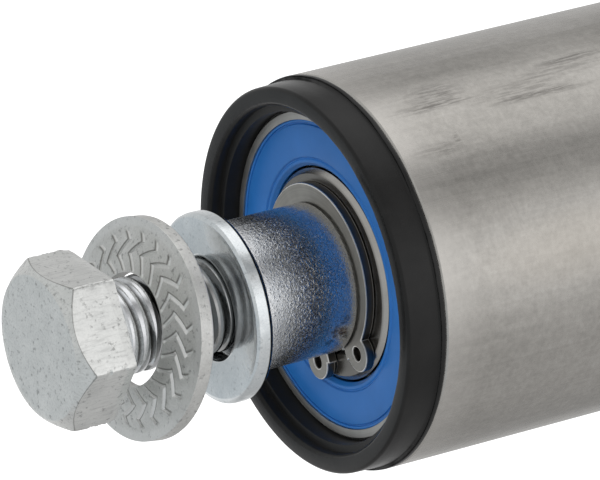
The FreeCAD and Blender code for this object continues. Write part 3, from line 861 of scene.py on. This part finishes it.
def moulded_finish(name, dark, light, rough, orange_peel, specular, dull_within=0.0):
    """Moulded rubber or plastic: even colour, faint clouds, orange peel.

    It is dull within the radius dull_within, as on an inner wall.
    """
    finish = Finish(name, metallic=0.0)
    clouds = finish.noise(6.0, 4.0, None, 0.6)
    peel = finish.noise(0.5, 3.0)
    finish.colour(finish.ramp(clouds, ((0.3, dark), (0.7, light))))
    wall = finish.ramp(finish.math("SUBTRACT", finish.radius(), dull_within), ((0.0, 1.0), (0.3, 0.0)))
    finish.roughness(finish.blend(wall, clouds, DULL), rough * 0.85, rough * 1.15)
    finish.shader.inputs["Specular IOR Level"].default_value = specular
    finish.bump((clouds, orange_peel * 2), (peel, orange_peel))
    return finish.material


def dress(thing, *materials):
    """Give a thing its materials, in the order of its faces' material numbers."""
    if len(thing.data.materials) > 0:
        thing.data.materials.clear()
    for material in materials:
        thing.data.materials.append(material)


def break_edges(node, width):
    """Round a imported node's sharp edges by modifiers alone, and give them its second material.

    width is in millimetres.
    """
    weld = node.modifiers.new("weld", "WELD")
    weld.merge_threshold = 1e-6
    bevel = node.modifiers.new("bevel", "BEVEL")
    bevel.width = width * MM
    bevel.segments = 2
    bevel.limit_method = "ANGLE"
    bevel.angle_limit = math.radians(40.0)
    bevel.material = 1
    even = node.modifiers.new("even", "WEIGHTED_NORMAL")
    even.keep_sharp = True


FINISHES = {
    "tube": tube_finish(),
    "axle": axle_finish(),
    "hex_bolt": zinc_finish(
        "zinc_bolt", (0.78, 0.79, 0.775), (0.97, 0.975, 0.955), 0.33, 0.04, 0.010, pits=0.6, drawn=0.35),
    "lock_washer": zinc_finish(
        "zinc_grey", (0.65, 0.65, 0.63), (0.86, 0.86, 0.84), 0.46, 0.03, 0.02, pits=0.6),
    "flat_washer": zinc_finish(
        "zinc_bright", (0.73, 0.78, 0.81), (0.96, 0.99, 1.0), 0.14, 0.02, 0.004, pits=0.3),
    # Painted shade on the circlip's sides.
    "circlip": ground_finish(
        "circlip_steel", (0.27, 0.26, 0.24), (0.40, 0.387, 0.36), 0.36, side_shade=0.65),
    "bearing_outer_ring": ground_finish(
        "bearing_steel", (0.46, 0.45, 0.43), (0.62, 0.61, 0.59), 0.45),
    "bearing_balls": ground_finish(
        "ball_steel", (0.60, 0.60, 0.60), (0.70, 0.70, 0.70), 0.08),
    "bearing_cage": ground_finish(
        "cage_steel", (0.42, 0.40, 0.37), (0.56, 0.54, 0.50), 0.35),
    # Painted shade on the inner ring inside its land.
    "bearing_inner_ring": ground_finish(
        "inner_ring_steel", (0.46, 0.44, 0.415), (0.62, 0.60, 0.57), 0.26, dark_within=12.75),
    "outer_seal": moulded_finish(
        "seal_rubber", (0.015, 0.145, 0.465), (0.024, 0.172, 0.53), 0.34, 0.004, 0.25),
    "end_cap": moulded_finish(
        "cap_plastic", (0.005, 0.005, 0.005), (0.010, 0.0098, 0.0096), 0.25, 0.012, 0.28, dull_within=22.1),
}
FINISHES["inner_seal"] = FINISHES["outer_seal"]
SHANK_FINISH = zinc_finish("zinc_shank", (0.70, 0.72, 0.74), (0.92, 0.93, 0.95), 0.10, 0.01, 0.004)
# Light copy of the circlip's steel for its rounded edges: a painted highlight.
EDGE_HIGHLIGHT_FINISH = ground_finish("circlip_edge", (0.84, 0.825, 0.80), (0.94, 0.925, 0.90), 0.40)
CIRCLIP_EDGE = 0.15

# How each detailed piece is built, the body that it rides on, and its material slot.
DETAILED = {
    "hex_bolt": (hex_bolt, "{}_bolt", "zinc_bolt"),
    "lock_washer": (lock_washer, "{}_loose_washer", "zinc_grey"),
    "flat_washer": (flat_washer, "axle", "zinc_bright"),
    "outer_seal": (outer_seal, "drum", "seal_rubber"),
    "end_cap": (end_cap, "drum", "cap_plastic"),
}

for node_name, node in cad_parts.items():
    kind = node_name.replace("left_", "").replace("right_", "")
    if kind == "circlip":
        dress(node, FINISHES[kind], EDGE_HIGHLIGHT_FINISH)
        # Rounded edges take the light copy of the steel: a painted highlight.
        break_edges(node, CIRCLIP_EDGE)
    else:
        dress(node, FINISHES[kind])

for end, end_name in END_NAMES.items():
    for kind, (build, body, slot) in DETAILED.items():
        node_name = end_name + "_" + kind
        piece = finish_piece(build(end), "detailed_" + node_name, body.format(end_name), node_name, slot)
        if kind == "hex_bolt":
            dress(piece, FINISHES[kind], SHANK_FINISH)
        else:
            dress(piece, FINISHES[kind])


# Set: floor, reflected studio, light and camera

FLOOR_HEIGHT = -0.12
TENT_RADIUS = 1.1
TENT_STEPS = 72
TABLE_CARD_HEIGHT = -0.105
# World X where the cards start and end. The wall and the shade are beyond the left end.
FAR_LEFT = -1.6
TENT_START = -0.30
TABLE_START = -0.24
FAR_RIGHT = 3.2
FLOOR_REACH = 4
# How much the floor is lifted where it is seen, and the world's strength as a light.
FLOOR_LIFT = 0.42
WORLD_LIGHT = 0.8
# Painted reflections, glowing grey bands that the metal sees round the roller's axis: degrees up from the
# front, and grey level.
REFLECTED = (
    (-180, 0.62),  # behind the roller
    (-148, 0.84),  # lit table behind it
    (-100, 0.41),  # its own shadow on the table
    (-45, 0.50),   # table in front
    (18, 1.00),    # window
    (67, 0.36),    # dark wall above the window
    (89, 0.98),    # ceiling light
    (112, 1.00),
    (142, 0.48),   # ceiling behind
    (180, 0.62),
)


def stage_mesh(name, corners, faces, material):
    """A thing of the set, which is no part of the object."""
    mesh = bpy.data.meshes.new(name)
    mesh.from_pydata(corners, [], faces)
    thing = bpy.data.objects.new(name, mesh)
    bpy.context.scene.collection.objects.link(thing)
    mesh.materials.append(material)
    return thing


def reflected_card(name, corners, faces, material):
    """A card that shows in reflections alone."""
    card = stage_mesh("reflected_" + name, corners, faces, material)
    card.visible_camera = False
    card.visible_diffuse = False
    card.visible_shadow = False
    card.visible_transmission = False
    card.visible_volume_scatter = False


def looked_at(nodes, links):
    """1 for what the camera sees straight, in a reflection or through a piece, 0 for light."""
    rays = nodes.new("ShaderNodeLightPath")
    seen = rays.outputs["Is Camera Ray"]
    for kind in ("Is Glossy Ray", "Is Transmission Ray"):
        either = nodes.new("ShaderNodeMath")
        either.operation = "MAXIMUM"
        links.new(seen, either.inputs[0])
        links.new(rays.outputs[kind], either.inputs[1])
        seen = either.outputs[0]
    return seen


def floor_material():
    """Pale floor that reads white where it is fully lit and keeps a soft shadow."""
    material = bpy.data.materials.new("floor")
    material.use_nodes = True
    nodes, links = material.node_tree.nodes, material.node_tree.links
    shader = nodes["Principled BSDF"]
    shader.inputs["Base Color"].default_value = (0.9, 0.9, 0.9, 1)
    shader.inputs["Roughness"].default_value = 1.0
    shader.inputs["Specular IOR Level"].default_value = 0.0
    lift = nodes.new("ShaderNodeMath")
    lift.operation = "MULTIPLY"
    lift.inputs[1].default_value = FLOOR_LIFT
    links.new(looked_at(nodes, links), lift.inputs[0])
    shader.inputs["Emission Color"].default_value = (1, 1, 1, 1)
    links.new(lift.outputs[0], shader.inputs["Emission Strength"])
    material.cycles.emission_sampling = "NONE"
    return material


def glow_material(name):
    """A material that only glows, with its node tree and its Emission node."""
    material = bpy.data.materials.new(name)
    material.use_nodes = True
    tree = material.node_tree
    tree.nodes.clear()
    glow = tree.nodes.new("ShaderNodeEmission")
    output = tree.nodes.new("ShaderNodeOutputMaterial")
    tree.links.new(glow.outputs[0], output.inputs["Surface"])
    material.cycles.emission_sampling = "NONE"
    return material, tree, glow


def reflected_material():
    """Grey bands of the reflected studio, by direction round the roller's axis."""
    material, tree, glow = glow_material("reflected_studio")
    place = tree.nodes.new("ShaderNodeTexCoord")
    split = tree.nodes.new("ShaderNodeSeparateXYZ")
    tree.links.new(place.outputs["Object"], split.inputs[0])
    front = tree.nodes.new("ShaderNodeMath")
    front.operation = "MULTIPLY"
    front.inputs[1].default_value = -1.0
    tree.links.new(split.outputs["Y"], front.inputs[0])
    turn = tree.nodes.new("ShaderNodeMath")
    turn.operation = "ARCTAN2"
    tree.links.new(split.outputs["Z"], turn.inputs[0])
    tree.links.new(front.outputs[0], turn.inputs[1])
    share = tree.nodes.new("ShaderNodeMapRange")
    share.inputs["From Min"].default_value = -math.pi
    share.inputs["From Max"].default_value = math.pi
    tree.links.new(turn.outputs[0], share.inputs["Value"])
    ramp = tree.nodes.new("ShaderNodeValToRGB")
    ramp.color_ramp.interpolation = "EASE"
    elements = ramp.color_ramp.elements
    while len(elements) < len(REFLECTED):
        elements.new(0.5)
    for element, (degrees, level) in zip(elements, REFLECTED):
        element.position = (degrees + 180) / 360
        element.color = (level, level, level, 1)
    tree.links.new(share.outputs[0], ramp.inputs["Fac"])
    tree.links.new(ramp.outputs["Color"], glow.inputs["Color"])
    return material


def shade_material(name, colour):
    """Even glow of one colour."""
    material, _, glow = glow_material(name)
    glow.inputs["Color"].default_value = (*colour, 1)
    return material


def level_square(start, finish, front, back, height):
    """Corners of a level sheet between two world X and two world Y."""
    return [(start, front, height), (finish, front, height), (finish, back, height), (start, back, height)]


def build_set():
    """Floor, and a reflected studio: a tent and a table round the roller, shade beyond its end."""
    sheet = [(0, 1, 2, 3)]
    floor = level_square(-FLOOR_REACH, FLOOR_REACH, -FLOOR_REACH, FLOOR_REACH, FLOOR_HEIGHT)
    stage_mesh("floor", floor, sheet, floor_material())
    low = math.asin(TABLE_CARD_HEIGHT / TENT_RADIUS)
    profile = []
    for step in range(TENT_STEPS + 1):
        angle = mix(low, math.pi - low, step / TENT_STEPS)
        profile.append((-TENT_RADIUS * math.cos(angle), TENT_RADIUS * math.sin(angle)))
    count = len(profile)
    strips = [(k, k + 1, count + k + 1, count + k) for k in range(count - 1)]
    studio = reflected_material()
    beyond = shade_material("reflected_wall", (0.56, 0.57, 0.57))
    shade = shade_material("reflected_shade", (0.50, 0.525, 0.54))
    tent = [(x, y, z) for x in (TENT_START, FAR_RIGHT) for y, z in profile]
    reflected_card("tent", tent, strips, studio)
    wall = [(x, y, z) for x in (FAR_LEFT, TENT_START) for y, z in profile]
    reflected_card("wall", wall, strips, beyond)
    reflected_card("end", [(FAR_LEFT, y, z) for y, z in profile], [tuple(range(count))], beyond)
    table = level_square(TABLE_START, FAR_RIGHT, -TENT_RADIUS, TENT_RADIUS, TABLE_CARD_HEIGHT)
    reflected_card("table", table, sheet, studio)
    under = level_square(FAR_LEFT, TABLE_START, -TENT_RADIUS, TENT_RADIUS, TABLE_CARD_HEIGHT)
    reflected_card("shade", under, sheet, shade)


def build_world():
    """White where the camera or a reflection sees it, softer as light on the object."""
    world = bpy.data.worlds.new("world")
    world.use_nodes = True
    nodes, links = world.node_tree.nodes, world.node_tree.links
    strength = nodes.new("ShaderNodeMapRange")
    strength.inputs["To Min"].default_value = WORLD_LIGHT
    strength.inputs["To Max"].default_value = 1.0
    links.new(looked_at(nodes, links), strength.inputs["Value"])
    background = nodes["Background"]
    background.inputs["Color"].default_value = (1, 1, 1, 1)
    links.new(strength.outputs[0], background.inputs["Strength"])
    bpy.context.scene.world = world


def add_lamp(name, place, target, size, energy):
    """Square soft lamp that shines from a place at a target and isn't seen itself."""
    data = bpy.data.lights.new(name, "AREA")
    data.shape = "SQUARE"
    data.size = size
    data.energy = energy
    lamp = bpy.data.objects.new(name, data)
    lamp.location = place
    lamp.rotation_euler = (Vector(target) - Vector(place)).to_track_quat("-Z", "Y").to_euler()
    lamp.visible_camera = False
    lamp.visible_glossy = False
    bpy.context.scene.collection.objects.link(lamp)


def build_camera():
    """Camera to the left of the roller, in front of it and above it, with a long lens."""
    data = bpy.data.cameras.new("camera")
    data.sensor_fit = "HORIZONTAL"
    data.sensor_width = 36.0
    data.lens = 416.27
    data.clip_start = 0.01
    camera = bpy.data.objects.new("camera", data)
    camera.location = (-0.566747, -0.661744, 0.348108)
    camera.rotation_euler = (math.radians(90 - 23.728), 0, math.radians(-31.871))
    bpy.context.scene.collection.objects.link(camera)
    bpy.context.scene.camera = camera


build_set()
build_world()
add_lamp("key", (-0.75, -1.05, 1.5), (-0.1, 0, 0), 1.2, 14)
add_lamp("fill", (0.8, -1.2, 0.9), (0.0, 0, 0), 1.2, 8)
build_camera()
bpy.context.scene.view_settings.view_transform = "Standard"
